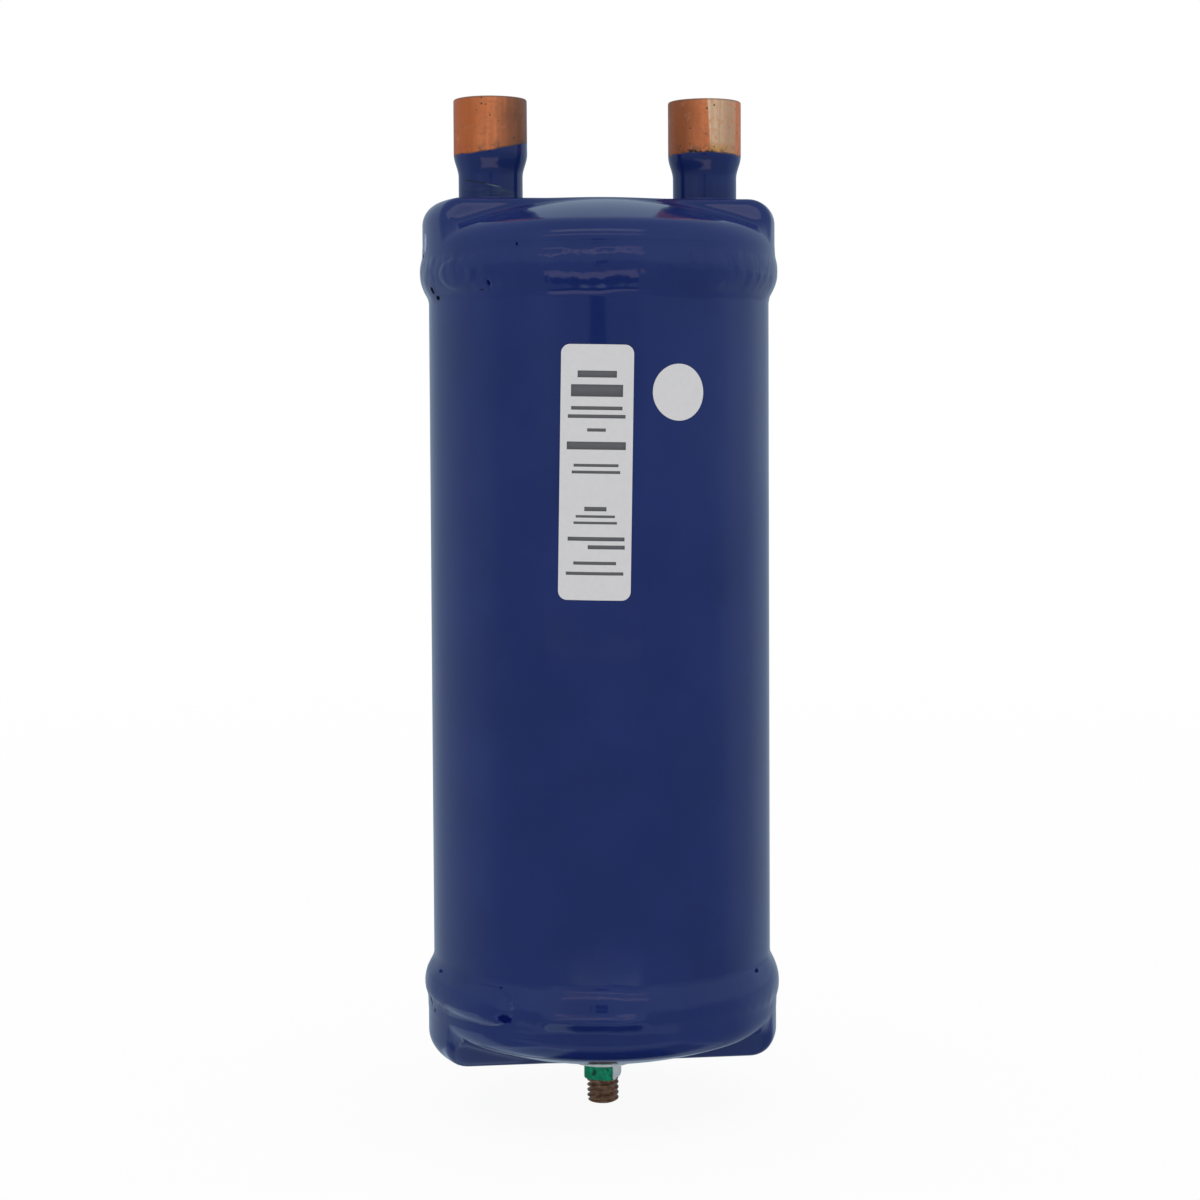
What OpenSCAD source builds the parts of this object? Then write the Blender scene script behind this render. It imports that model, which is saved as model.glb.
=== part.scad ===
// Suction line accumulator for a refrigeration circuit, upright on its bottom stud.
// Sizes are in millimetres and +Z is up.
// The origin is on the vessel axis, at the lower shoulder of the mounting stud.
// +X runs from the inlet stub to the outlet stub, and the label faces -Y.

/* [Vessel] */
// Outside diameter of the steel shell
shell_diameter = 101.6; // [90:0.1:127]
// Wall of the shell
shell_wall = 2.1; // [1.5:0.1:3]
// Height from the bottom pads to the top pads
pad_to_pad = 254.6; // [200:0.2:400]
// How far the shell reaches into each cap
shell_overlap = 6.5; // [4:0.1:7]

/* [Caps] */
// Wall of the stamped caps
cap_wall = 1.8; // [1.2:0.1:2.2]
// Height of a cap, from its skirt edge to its pads
cap_height = 22.2; // [22:0.1:30]
// Radius of the dome
dome_radius = 131; // [120:1:180]
// How far the dome stands above the pads
dome_rise = 1.2; // [0.6:0.1:1.6]
// Knuckle between the dome and the skirt
knuckle_radius = 7; // [5:0.1:8]
// Rounding of the pads into the skirt
shoulder_radius = 6.8; // [6:0.1:10]
// Half width of the flat bar that carries the pads
bar_half_width = 19.6; // [17:0.1:22]
// Rounding along the bar's upper edges
bar_edge_radius = 3; // [2.5:0.1:4]
// Slope of the bar's sides from upright, in degrees
bar_draft = 18; // [5:1:30]

/* [Welds] */
// How far a weld stands proud of the cap's skirt
bead_proud = 0.7; // [0.4:0.05:1.2]
// Radius of a weld's crown
bead_crown_radius = 12; // [10:0.5:16]
// Height of the crown past the skirt edge, toward the cap
bead_rise = 1.2; // [0.5:0.1:2]
// Leg of the braze fillets at the feet of the stubs
braze_leg = 1.2; // [0.6:0.1:2]
// Leg of the weld around the stud's head
stud_weld_leg = 2; // [1:0.1:2.6]

/* [Stubs] */
// Distance between the two stubs
stub_spacing = 64.5; // [60:0.5:66]
// Outside diameter of the stub tubes
tube_diameter = 19.05; // [15.9:0.05:19.1]
// Wall of the stub tubes
tube_wall = 1.35; // [1:0.05:1.6]
// Inside diameter of the bell that takes the line
socket_diameter = 19.15; // [19:0.05:21]
// Depth of the bell
socket_depth = 16; // [12:0.5:18]
// Height of the taper from the bell to the tube
bell_taper = 6.9; // [4:0.1:8]
// Height of a stub above the pads
stub_height = 30.4; // [28:0.2:45]
// Length of a stub below the pads
stub_inside = 22; // [18:0.5:30]
// Rounding at the lip of the bell
lip_radius = 0.4; // [0.2:0.05:0.6]

/* [Mounting stud] */
// Outside diameter of the thread
thread_diameter = 9.525; // [7.9:0.005:9.6]
// Length of the thread
thread_length = 7; // [6:0.1:30]
// Chamfer at the thread's end
thread_chamfer = 0.6; // [0.3:0.1:1]
// Width of the square neck
neck_width = 9.3; // [8.6:0.1:10.4]
// Length of the square neck
neck_length = 5.5; // [4:0.1:8]
// Cut across the neck's lower corners
neck_corner_cut = 1.2; // [0.6:0.1:1.6]
// Turn of the neck about the vessel axis, in degrees
neck_turn = -24; // [-90:1:90]
// Diameter of the round head
head_diameter = 19.6; // [16:0.2:24]
// Thickness of the round head
head_thickness = 2.95; // [2:0.05:5]

/* [Inner tube] */
// Outside diameter of the pick-up tube
pickup_diameter = 15.875; // [12:0.005:16]
// Wall of the pick-up tube
pickup_wall = 1; // [0.7:0.1:1.5]
// Bend radius of the pick-up tube
bend_radius = 20; // [16:0.5:20.5]
// Reach of the pick-up tube into the outlet stub
pickup_insert = 12; // [8:0.5:14]
// Height of the bend's underside above the bottom dome
bend_clearance = 14; // [12:0.5:20]
// Distance of the open leg's end below the top pads
open_leg_drop = 26; // [22:0.5:60]
// Diameter of the oil hole
oil_hole_diameter = 1.2; // [0.8:0.1:2]
// Diameter of the fitting under the oil hole
fitting_diameter = 10; // [8:0.2:11]
// Length of that fitting below the bend
fitting_length = 4; // [3:0.2:6]
// Length of the strainer cup
screen_length = 8.5; // [7:0.1:10]
// Wall of the strainer cup
screen_wall = 0.5; // [0.3:0.05:0.8]
// Windows around the strainer cup
screen_windows = 12; // [6:1:16]
// Reach of the deflector below the inlet stub
deflector_drop = 20; // [14:1:30]
// Overlap of the deflector on the inlet stub
deflector_overlap = 9; // [6:0.5:10]
// Wall of the deflector
deflector_wall = 1; // [0.6:0.1:1.5]
// Height of the plate that ties the legs
brace_height = 150; // [80:1:190]
// Thickness of that plate
brace_thickness = 2; // [1:0.1:4]
// Margin of that plate around the legs
brace_margin = 4; // [3:0.2:6]

/* [Labels] */
// Width of the product label
label_width = 20.4; // [16:0.2:30]
// Height of the product label
label_height = 71.6; // [50:0.2:100]
// Height of the label's centre
label_centre = 184.8; // [100:0.2:186]
// Direction the label faces, in degrees from -Y toward +X
label_azimuth = -8.4; // [-30:0.2:30]
// Lean of the label against the vessel axis, in degrees
label_lean = -1.1; // [-3:0.1:3]
// Corner radius of the label
label_corner = 2.5; // [1:0.1:4]
// Diameter of the round sticker
sticker_diameter = 16; // [12:0.2:24]
// Height of the sticker's centre
sticker_centre = 207.2; // [190:0.1:215]
// Direction the sticker faces, in degrees from -Y toward +X
sticker_azimuth = 19; // [12:0.5:60]
// Thickness of the labels
label_thickness = 0.15; // [0.1:0.05:0.3]

/* [Fits] */
// Radial clearance where one piece slips over another
slip_clearance = 0.1; // [0.05:0.01:0.2]
// Gap left where curved pieces are joined
joint_gap = 0.02; // [0.01:0.01:0.05]
// How far the bar stands inside the skirt's own cylinder
bar_inset = 0.1; // [0.05:0.01:0.2]

/* [Choice] */
// The piece to draw

/* [Hidden] */
$fn = 96;
paint = [0.05, 0.08, 0.28];
copper = [0.72, 0.42, 0.27];
bare_steel = [0.62, 0.63, 0.65];
rust = [0.36, 0.25, 0.19];
white = [0.93, 0.93, 0.93];
brass = [0.75, 0.62, 0.3];

// Cutting pieces run past the faces they cut by this much.
past = 1;
// Rounded corners of a section run on into its straight parts by this many degrees.
lap_angle = 10;
shell_radius = shell_diameter / 2;
cap_inner_radius = shell_radius + slip_clearance;
cap_radius = cap_inner_radius + cap_wall;
tube_radius = tube_diameter / 2;
tube_bore_radius = tube_radius - tube_wall;
socket_radius = socket_diameter / 2;
bell_radius = socket_radius + tube_wall;
stub_x = stub_spacing / 2;
thread_radius = thread_diameter / 2;
head_radius = head_diameter / 2;
pickup_radius = pickup_diameter / 2;
pickup_bore_radius = pickup_radius - pickup_wall;
fitting_radius = fitting_diameter / 2;

// Heights, from the stud's shoulder upward.
bottom_apex = neck_length + head_thickness;
bottom_pads = bottom_apex + dome_rise;
top_pads = bottom_pads + pad_to_pad;
bottom_edge = bottom_pads + cap_height;
top_edge = top_pads - cap_height;
bottom_floor = bottom_apex + cap_wall;
bend_underside = bottom_floor + bend_clearance;
bend_level = bend_underside + pickup_radius + bend_radius;
stub_end = top_pads - stub_inside;
open_leg_x = stub_x - 2 * bend_radius;
fitting_foot = bend_underside - fitting_length;

// A cap's own frame has its pads at height 0 and its skirt below them.
dome_centre = dome_rise - dome_radius;
knuckle_x = cap_radius - knuckle_radius;
knuckle_reach = dome_radius - knuckle_radius;
knuckle_level = dome_centre + sqrt(pow(knuckle_reach, 2) - pow(knuckle_x, 2));
dome_edge_angle = asin(knuckle_x / knuckle_reach);
bar_edge_y = bar_half_width - bar_edge_radius * (1 - sin(bar_draft)) / cos(bar_draft);
taper_steps = 12;
dome_steps = 480;

// A wedge with its point at the middle, between two angles from +X.
module wedge(from, to, reach) {
    polygon([
        [0, 0],
        reach * [cos(from), sin(from)],
        reach * [cos(to), sin(to)]
    ]);
}

// A slice of a disc between two angles.
module slice(radius, from, to) {
    intersection() {
        circle(radius);
        wedge(from, to, 3 * radius);
    }
}

// Half section of the domed cup, drawn in by a thickness and open below a depth.
module dome_section(inset, depth) {
    translate([0, -depth])
        square([cap_radius - inset, depth + knuckle_level]);
    translate([knuckle_x, knuckle_level])
        slice(knuckle_radius - inset, -lap_angle, 90 - dome_edge_angle + lap_angle);
    intersection() {
        translate([0, dome_centre])
            circle(dome_radius - inset, $fn = dome_steps);
        polygon([
            [0, knuckle_level - past],
            [knuckle_x, knuckle_level - past],
            [knuckle_x, knuckle_level],
            [
                knuckle_x + dome_radius * sin(dome_edge_angle),
                knuckle_level + dome_radius * cos(dome_edge_angle)
            ],
            [0, knuckle_level + dome_radius]
        ]);
    }
}

// Half section of the flat cup whose shoulder closes the ends of the bar.
module flat_section(inset, depth) {
    shoulder_x = cap_radius - bar_inset - shoulder_radius;
    translate([0, -depth])
        square([cap_radius - bar_inset - inset, depth - shoulder_radius]);
    translate([0, -shoulder_radius - past])
        square([shoulder_x, shoulder_radius + past - inset]);
    translate([shoulder_x, -shoulder_radius])
        slice(shoulder_radius - inset, -lap_angle, 90 + lap_angle);
}

// Half section of the bar, across its length.
module bar_section(inset, depth) {
    round_radius = bar_edge_radius - inset;
    side_y = bar_edge_y + round_radius * cos(bar_draft);
    side_z = round_radius * sin(bar_draft) - bar_edge_radius;
    polygon([
        [0, -depth],
        [side_y + (side_z + depth) * tan(bar_draft), -depth],
        [side_y, side_z],
        [bar_edge_y, -bar_edge_radius],
        [bar_edge_y, -inset],
        [0, -inset]
    ]);
    translate([bar_edge_y, -bar_edge_radius])
        slice(round_radius, bar_draft - lap_angle, 90 + lap_angle);
}

// The filled form of a cap: the domed cup and the bar that crosses it.
module cap_form(inset, depth) {
    rotate_extrude()
        dome_section(inset, depth);
    intersection() {
        rotate_extrude()
            flat_section(inset, depth);
        rotate([90, 0, 90])
            linear_extrude(3 * cap_radius, center = true) {
                bar_section(inset, depth);
                mirror([1, 0])
                    bar_section(inset, depth);
            }
    }
}

module cap_blank() {
    difference() {
        cap_form(0, cap_height);
        cap_form(cap_wall, cap_height + past);
    }
}

// Half section of a lap weld, with the skirt edge at height 0 and the cap above it.
module bead_section() {
    crown_x = cap_radius + bead_proud - bead_crown_radius;
    difference() {
        translate([crown_x, bead_rise])
            circle(bead_crown_radius);
        translate([crown_x - bead_crown_radius - past, -2 * bead_crown_radius])
            square([
                shell_radius + joint_gap - crown_x + bead_crown_radius + past,
                4 * bead_crown_radius
            ]);
        translate([0, -joint_gap])
            square([cap_radius + joint_gap, 2 * bead_crown_radius]);
    }
}

// Concave fillet ring around an upright tube, standing on height 0.
module fillet_ring(radius, leg) {
    rotate_extrude()
        difference() {
            translate([radius + joint_gap, joint_gap])
                square(leg);
            translate([radius + joint_gap + leg, joint_gap + leg])
                circle(leg);
        }
}

// Radius of a stub's outside, by the share of the taper that is passed.
function taper_radius(low, high, share) = low + (high - low) * (1 - cos(180 * share)) / 2;

// Half section of a stub with its lip at height 0.
module stub_section() {
    neck_top = -socket_depth - bell_taper;
    foot = -stub_height - stub_inside;
    outer_taper = [
        for (i = [0 : taper_steps])
            let (share = i / taper_steps)
            [taper_radius(tube_radius, bell_radius, share), neck_top + bell_taper * share]
    ];
    inner_taper = [
        for (i = [taper_steps : -1 : 0])
            let (share = i / taper_steps)
            [taper_radius(tube_bore_radius, socket_radius, share), neck_top + bell_taper * share]
    ];
    polygon(concat(
        [[tube_bore_radius, foot], [tube_radius, foot]],
        outer_taper,
        [[bell_radius, -lip_radius], [bell_radius - lip_radius, 0], [socket_radius, 0]],
        inner_taper
    ));
}

module stub_at(x) {
    translate([x, 0, top_pads + stub_height])
        rotate_extrude()
            stub_section();
}

// A sheet on the shell, cut by the flat shape given, facing -Y before it is turned.
module on_shell(azimuth, height) {
    intersection() {
        difference() {
            cylinder(h = top_edge, r = shell_radius + joint_gap + label_thickness);
            translate([0, 0, -past])
                cylinder(h = top_edge + 2 * past, r = shell_radius + joint_gap);
        }
        translate([0, 0, height])
            rotate([0, 0, azimuth])
                rotate([90, 0, 0])
                    linear_extrude(cap_radius)
                        children();
    }
}

module rounded_rectangle(width, height, radius) {
    square([width - 2 * radius, height], center = true);
    square([width, height - 2 * radius], center = true);
    for (side = [-1, 1])
        for (end = [-1, 1])
            translate([side * (width / 2 - radius), end * (height / 2 - radius)])
                circle(radius);
}

module shell() {
    color(paint)
        translate([0, 0, bottom_edge - shell_overlap])
            difference() {
                cylinder(h = top_edge - bottom_edge + 2 * shell_overlap, r = shell_radius);
                translate([0, 0, -past])
                    cylinder(
                        h = top_edge - bottom_edge + 2 * (shell_overlap + past),
                        r = shell_radius - shell_wall
                    );
            }
}

module top_cap() {
    color(paint)
        translate([0, 0, top_pads])
            difference() {
                cap_blank();
                for (side = [-1, 1])
                    translate([side * stub_x, 0, -cap_height])
                        cylinder(h = 2 * cap_height, r = tube_radius + slip_clearance);
            }
}

module bottom_cap() {
    color(paint)
        translate([0, 0, bottom_pads])
            mirror([0, 0, 1])
                cap_blank();
}

module top_weld() {
    color(paint)
        translate([0, 0, top_edge])
            rotate_extrude()
                bead_section();
}

module bottom_weld() {
    color(paint)
        translate([0, 0, bottom_edge])
            mirror([0, 0, 1])
                rotate_extrude()
                    bead_section();
}

module inlet_stub() {
    color(copper)
        stub_at(-stub_x);
}

module outlet_stub() {
    color(copper)
        stub_at(stub_x);
}

module inlet_braze() {
    color(paint)
        translate([-stub_x, 0, top_pads])
            fillet_ring(tube_radius, braze_leg);
}

module outlet_braze() {
    color(paint)
        translate([stub_x, 0, top_pads])
            fillet_ring(tube_radius, braze_leg);
}

// The neck's lower corners are cut back to a cone, as on a square-necked bolt.
module stud_neck() {
    corner_reach = neck_width / sqrt(2);
    intersection() {
        rotate([0, 0, neck_turn])
            translate([-neck_width / 2, -neck_width / 2, 0])
                cube([neck_width, neck_width, neck_length]);
        rotate_extrude()
            polygon([
                [0, 0],
                [corner_reach - neck_corner_cut, 0],
                [corner_reach + past, neck_corner_cut + past],
                [corner_reach + past, neck_length],
                [0, neck_length]
            ]);
    }
}

module mounting_stud() {
    core_radius = thread_radius - 2 * thread_chamfer;
    core_top = neck_length + head_thickness / 2;
    color(rust) {
        rotate_extrude()
            polygon([
                [0, -thread_length],
                [thread_radius - thread_chamfer, -thread_length],
                [thread_radius, thread_chamfer - thread_length],
                [thread_radius, 0],
                [core_radius, 0],
                [core_radius, core_top],
                [0, core_top]
            ]);
        stud_neck();
        translate([0, 0, neck_length])
            cylinder(h = head_thickness - joint_gap, r = head_radius);
    }
}

// The weld fills the corner between the head's side and the dome.
module stud_weld() {
    inner_radius = head_radius + joint_gap;
    color(bare_steel)
        rotate_extrude()
            difference() {
                polygon([
                    [inner_radius, bottom_apex - stud_weld_leg],
                    [inner_radius + stud_weld_leg, bottom_apex],
                    [inner_radius + stud_weld_leg, bottom_apex + past],
                    [inner_radius, bottom_apex + past]
                ]);
                translate([0, bottom_apex + dome_radius])
                    circle(dome_radius + joint_gap, $fn = dome_steps);
            }
}

module product_label() {
    color(white)
        on_shell(label_azimuth, label_centre)
            rotate(label_lean)
                rounded_rectangle(label_width, label_height, label_corner);
}

module round_sticker() {
    color(white)
        on_shell(sticker_azimuth, sticker_centre)
            circle(sticker_diameter / 2);
}

// A cup on the inlet stub's end, with a window toward the shell wall.
module inlet_deflector() {
    inner_radius = tube_radius + slip_clearance;
    outer_radius = inner_radius + deflector_wall;
    floor_level = stub_end - deflector_drop;
    color(bare_steel)
        translate([-stub_x, 0, 0])
            difference() {
                translate([0, 0, floor_level])
                    cylinder(h = deflector_drop + deflector_overlap, r = outer_radius);
                translate([0, 0, floor_level + deflector_wall])
                    cylinder(h = deflector_drop + deflector_overlap, r = inner_radius);
                translate([0, -2 * outer_radius, floor_level + deflector_wall])
                    cube([
                        2 * outer_radius,
                        2 * outer_radius,
                        deflector_drop - 2 * deflector_wall
                    ]);
            }
}

// A straight length of the pick-up tube or of its bore.
module tube_leg(x, from, to, radius) {
    translate([x, 0, from])
        cylinder(h = to - from, r = radius);
}

// The half ring of the bend or of its bore, below the level of the legs.
module tube_bend(radius) {
    translate([stub_x - bend_radius, 0, bend_level])
        rotate([-90, 0, 0])
            rotate_extrude(angle = 180)
                translate([bend_radius, 0])
                    circle(radius);
}

module u_tube() {
    outlet_end = stub_end + pickup_insert;
    open_end = top_pads - open_leg_drop;
    color(bare_steel)
        difference() {
            union() {
                tube_leg(stub_x, bend_level, outlet_end, pickup_radius);
                tube_leg(open_leg_x, bend_level, open_end, pickup_radius);
                tube_bend(pickup_radius);
            }
            union() {
                tube_leg(stub_x, bend_level, outlet_end + past, pickup_bore_radius);
                tube_leg(open_leg_x, bend_level, open_end + past, pickup_bore_radius);
                tube_bend(pickup_bore_radius);
            }
            translate([stub_x - bend_radius, 0, bend_underside - past])
                cylinder(h = pickup_wall + 2 * past, r = oil_hole_diameter / 2);
        }
}

// The braze lies under the outlet stub's end, around the pick-up tube.
module u_tube_braze() {
    color(brass)
        translate([stub_x, 0, stub_end])
            mirror([0, 0, 1])
                fillet_ring(pickup_radius, tube_radius - pickup_radius - joint_gap);
}

// The fitting is hollowed to the bend's round, so that it sits on the tube.
module oil_pickup() {
    color(brass)
        difference() {
            translate([stub_x - bend_radius, 0, fitting_foot])
                cylinder(h = fitting_length + pickup_radius / 2, r = fitting_radius);
            tube_bend(pickup_radius + joint_gap);
            translate([stub_x - bend_radius, 0, fitting_foot - past])
                cylinder(
                    h = fitting_length + pickup_radius + past,
                    r = 2 * oil_hole_diameter
                );
        }
}

module oil_screen() {
    inner_radius = fitting_radius + slip_clearance;
    screen_foot = bend_underside - pickup_wall - screen_length;
    window_height = fitting_foot - screen_foot - 2 * screen_wall;
    window_width = PI * inner_radius / screen_windows;
    color(brass)
        translate([stub_x - bend_radius, 0, screen_foot])
            difference() {
                cylinder(h = screen_length, r = inner_radius + screen_wall);
                translate([0, 0, screen_wall])
                    cylinder(h = screen_length, r = inner_radius);
                for (i = [0 : screen_windows - 1])
                    rotate([0, 0, i * 360 / screen_windows])
                        translate([inner_radius - past, -window_width / 2, screen_wall])
                            cube([screen_wall + 2 * past, window_width, window_height]);
            }
}

module leg_brace() {
    margin_radius = pickup_radius + brace_margin;
    color(bare_steel)
        translate([stub_x - bend_radius, 0, brace_height])
            linear_extrude(brace_thickness)
                difference() {
                    union() {
                        square([2 * bend_radius, 2 * margin_radius], center = true);
                        for (side = [-1, 1])
                            translate([side * bend_radius, 0])
                                circle(margin_radius);
                    }
                    for (side = [-1, 1])
                        translate([side * bend_radius, 0])
                            circle(pickup_radius + slip_clearance);
                }
}

shell();
top_cap();
bottom_cap();
top_weld();
bottom_weld();
inlet_stub();
outlet_stub();
inlet_braze();
outlet_braze();
mounting_stud();
stud_weld();
product_label();
round_sticker();
inlet_deflector();
u_tube();
u_tube_braze();
oil_pickup();
oil_screen();
leg_brace();
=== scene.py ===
import math

import bmesh
import bpy
import numpy as np
from mathutils import Matrix, Vector


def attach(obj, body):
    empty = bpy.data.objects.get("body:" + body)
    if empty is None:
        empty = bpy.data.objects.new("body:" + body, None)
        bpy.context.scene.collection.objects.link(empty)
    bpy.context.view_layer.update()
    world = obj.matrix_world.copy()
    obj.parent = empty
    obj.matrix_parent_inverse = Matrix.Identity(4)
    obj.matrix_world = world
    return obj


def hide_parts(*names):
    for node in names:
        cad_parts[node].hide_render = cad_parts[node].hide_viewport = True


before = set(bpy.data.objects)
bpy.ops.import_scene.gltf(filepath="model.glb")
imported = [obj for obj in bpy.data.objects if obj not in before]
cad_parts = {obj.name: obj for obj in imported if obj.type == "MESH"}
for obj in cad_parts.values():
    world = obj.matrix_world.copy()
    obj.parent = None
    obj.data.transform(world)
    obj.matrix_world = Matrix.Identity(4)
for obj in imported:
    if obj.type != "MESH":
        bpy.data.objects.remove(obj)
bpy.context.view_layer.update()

MM = 0.001

# Sizes of the solids. A cap's own heights count from its pads.
SHELL_R, SHELL_WALL, SHELL_LOW, SHELL_HIGH = 50.8, 2.1, 25.35, 248.55
CAP_R, CAP_WALL, CAP_H = 52.7, 1.8, 22.2
WELD_R = 53.4
TOP_PADS, BOTTOM_PADS = 264.25, 9.65
TOP_EDGE, BOTTOM_EDGE = TOP_PADS - CAP_H, BOTTOM_PADS + CAP_H
DOME_R, DOME_Z = 131.0, -129.8
KNUCKLE_R, KNUCKLE_X = 7.0, 45.7
KNUCKLE_Z = DOME_Z + math.sqrt((DOME_R - KNUCKLE_R) ** 2 - KNUCKLE_X ** 2)
DOME_EDGE = math.asin(KNUCKLE_X / (DOME_R - KNUCKLE_R))
SHOULDER_R, SHOULDER_X = 6.8, 45.8
BAR_Y, BAR_DRAFT = 19.6, math.radians(18)
STUB_X, HOLE_R = 32.25, 9.625
TUBE_R, BORE_R, SOCKET_R, BELL_R = 9.525, 8.175, 9.575, 10.925
LIP, SOCKET_FLOOR, NECK_TOP, STUB_END = 294.65, 278.65, 271.75, 242.25
THREAD_R, PITCH, THREAD_END = 4.7625, 1.5875, -7.0
NECK_HALF, NECK_TURN, NECK_TOP_Z = 4.65, math.radians(-24), 5.5
HEAD_R, HEAD_TOP = 9.8, 8.43
LABEL_AZ, LABEL_Z, LABEL_LEAN, LABEL_R = math.radians(-8.4), 184.8, math.radians(1.1), 50.97

# Where the photograph was taken from: the turn from -Y, and the distance and height in metres.
SIDE_AZ, EYE_OUT, EYE_UP = math.radians(-7.2), 0.7167, 0.1979


def smooth(x, low, high):
    """0 below low, 1 above high, and an even S between them."""
    t = np.clip((x - low) / (high - low), 0, 1)
    return t * t * (3 - 2 * t)


def ring_noise(angle, low, high, seed):
    """Even noise round a circle, made of whole waves between low and high per turn."""
    rng = np.random.default_rng(seed)
    total = np.zeros_like(angle)
    for k in range(low, high):
        total = total + rng.normal() * np.cos(k * angle + rng.uniform(0, 2 * math.pi))
    return total / math.sqrt((high - low) / 2)


def turn_angles(cols):
    """Even angles once round, without the last that would repeat the first."""
    return np.linspace(0, 2 * math.pi, cols, endpoint=False)


def ring_quads(low, high, cols):
    """Quads from the closed ring of vertices that starts at low to the one that starts at high."""
    j = np.arange(cols)
    k = (j + 1) % cols
    return np.stack([low + j, low + k, high + k, high + j], -1).tolist()


def grid_quads(rows, cols):
    """Quads between the rows of a grid whose columns close on themselves."""
    faces = []
    for i in range(rows - 1):
        faces += ring_quads(i * cols, (i + 1) * cols, cols)
    return faces


def fan(tip, first, cols):
    """Triangles from a tip to the closed ring of vertices that starts at first."""
    return [[tip, first + j, first + (j + 1) % cols] for j in range(cols)]


def build(name, verts, faces, node, material, sharp=None):
    """Makes one piece of the part, smooth apart from edges over the sharp angle in degrees."""
    mesh = bpy.data.meshes.new(name)
    mesh.from_pydata((np.asarray(verts, float) * MM).tolist(), [], faces)
    bm = bmesh.new()
    bm.from_mesh(mesh)
    bmesh.ops.recalc_face_normals(bm, faces=bm.faces)
    for f in bm.faces:
        f.smooth = True
    if sharp is not None:
        limit = math.radians(sharp)
        for e in bm.edges:
            e.smooth = not (e.is_manifold and e.calc_face_angle(0) > limit)
    bm.to_mesh(mesh)
    bm.free()
    mesh.materials.append(material)
    obj = bpy.data.objects.new(name, mesh)
    bpy.context.scene.collection.objects.link(obj)
    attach(obj, "root")
    if node:
        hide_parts(node)


def lathe(profile, cols, wobble):
    """Vertices and quads of a closed profile of (radius, height) turned about the axis."""
    angle = turn_angles(cols)
    r = np.array([p[0] for p in profile])[:, None]
    z = np.array([p[1] for p in profile])[:, None] + 0 * angle[None, :]
    r = r + wobble(angle, z)
    verts = np.stack([r * np.cos(angle), r * np.sin(angle), z], -1).reshape(-1, 3)
    rows = len(profile)
    return verts, grid_quads(rows, cols) + ring_quads((rows - 1) * cols, 0, cols)


# Materials. Colours are linear, and lengths in them are metres in the part's frame.
class Nodes:
    """A node tree, with short calls for what goes in it. Values are sockets or numbers."""

    def __init__(self, tree):
        self.tree = tree

    def add(self, kind, **settings):
        node = self.tree.nodes.new(kind)
        for k, v in settings.items():
            setattr(node, k, v)
        return node

    def put(self, socket, value):
        if isinstance(value, bpy.types.NodeSocket):
            self.tree.links.new(value, socket)
        elif isinstance(value, tuple) and len(value) == 3 and socket.type == "RGBA":
            socket.default_value = (*value, 1)
        else:
            socket.default_value = value

    def math(self, op, a, b=0.0):
        node = self.add("ShaderNodeMath", operation=op)
        self.put(node.inputs[0], a)
        self.put(node.inputs[1], b)
        return node.outputs[0]

    def times(self, first, *others):
        for other in others:
            first = self.math("MULTIPLY", first, other)
        return first

    def plus(self, first, *others):
        for other in others:
            first = self.math("ADD", first, other)
        return first

    def minus(self, a, b):
        return self.math("SUBTRACT", a, b)

    def ramp(self, value, low, high, to_low=0.0, to_high=1.0):
        node = self.add("ShaderNodeMapRange", interpolation_type="SMOOTHSTEP")
        for i, v in enumerate((value, low, high, to_low, to_high)):
            self.put(node.inputs[i], v)
        return node.outputs[0]

    def between(self, value, rise, fall):
        """1 between two ramps, each given by where it is 0 and where it is 1."""
        return self.times(self.ramp(value, *rise), self.ramp(value, *fall))

    def mix(self, share, a, b):
        node = self.add("ShaderNodeMix", data_type="RGBA")
        self.put(node.inputs[0], share)
        self.put(node.inputs[6], a)
        self.put(node.inputs[7], b)
        return node.outputs[2]

    def split(self, vector):
        node = self.add("ShaderNodeSeparateXYZ")
        self.put(node.inputs[0], vector)
        return node.outputs


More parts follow.
